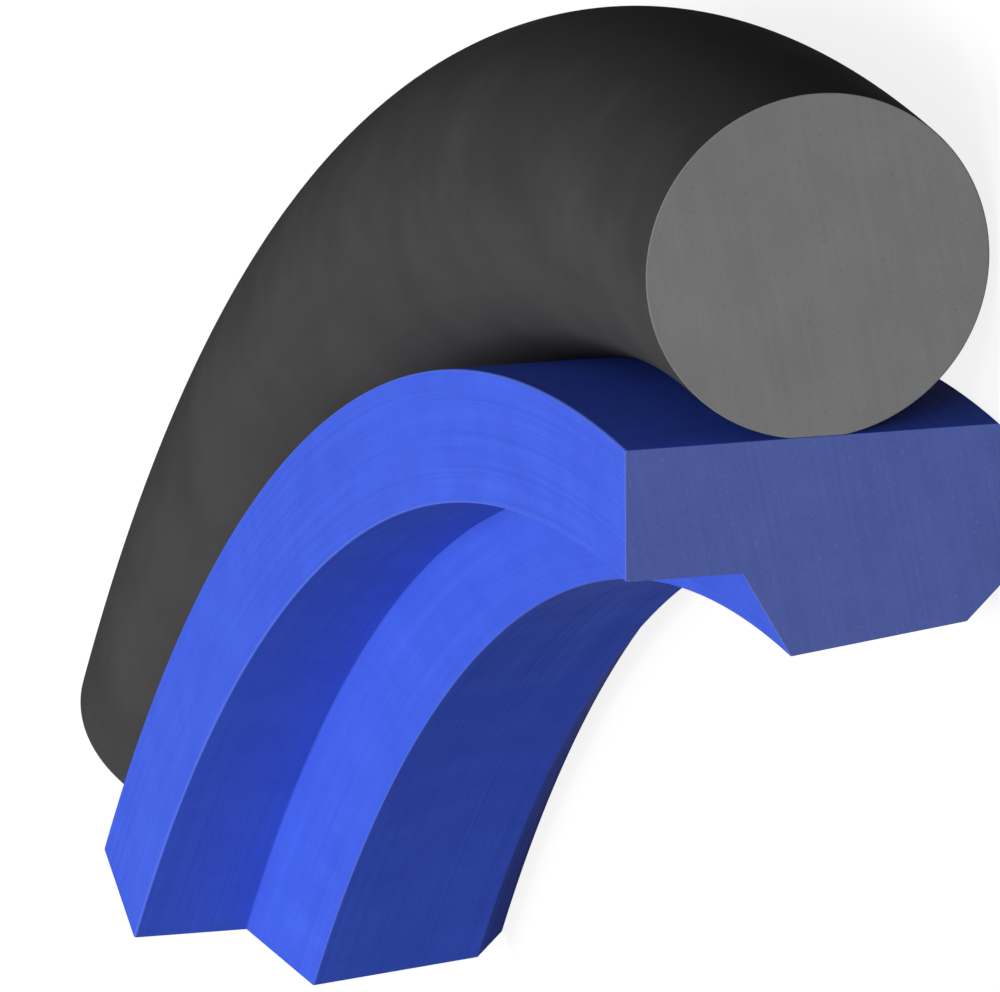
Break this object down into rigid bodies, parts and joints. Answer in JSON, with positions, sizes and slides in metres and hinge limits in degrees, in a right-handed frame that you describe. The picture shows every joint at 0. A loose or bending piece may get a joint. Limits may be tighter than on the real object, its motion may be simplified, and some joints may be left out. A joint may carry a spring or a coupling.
{
  "type": "rod seal",
  "caption": "Cut sample of a two-piece rod seal: a stepped slide ring with a lip on its bore, and the rubber O-ring that presses it onto the rod.",
  "frame": {"origin": "middle of the slide ring's heel flank, half way along the sample, in the plane that the sample lies on", "axes": "+Z along the rod axis, from the heel flank toward the pressure face; +Y outward from the rod at the middle of the sample; +X along the sample toward its radial cut"},
  "size_m": [0.0395, 0.0121, 0.0058],
  "materials": {
    "ring_blue": "satin, turned and sawn",
    "rubber_black": "matt moulded"
  },
  "bodies": {
    "root": {"seal_ring": "ring_blue", "o_ring": "rubber_black"}
  },
  "joints": []
}
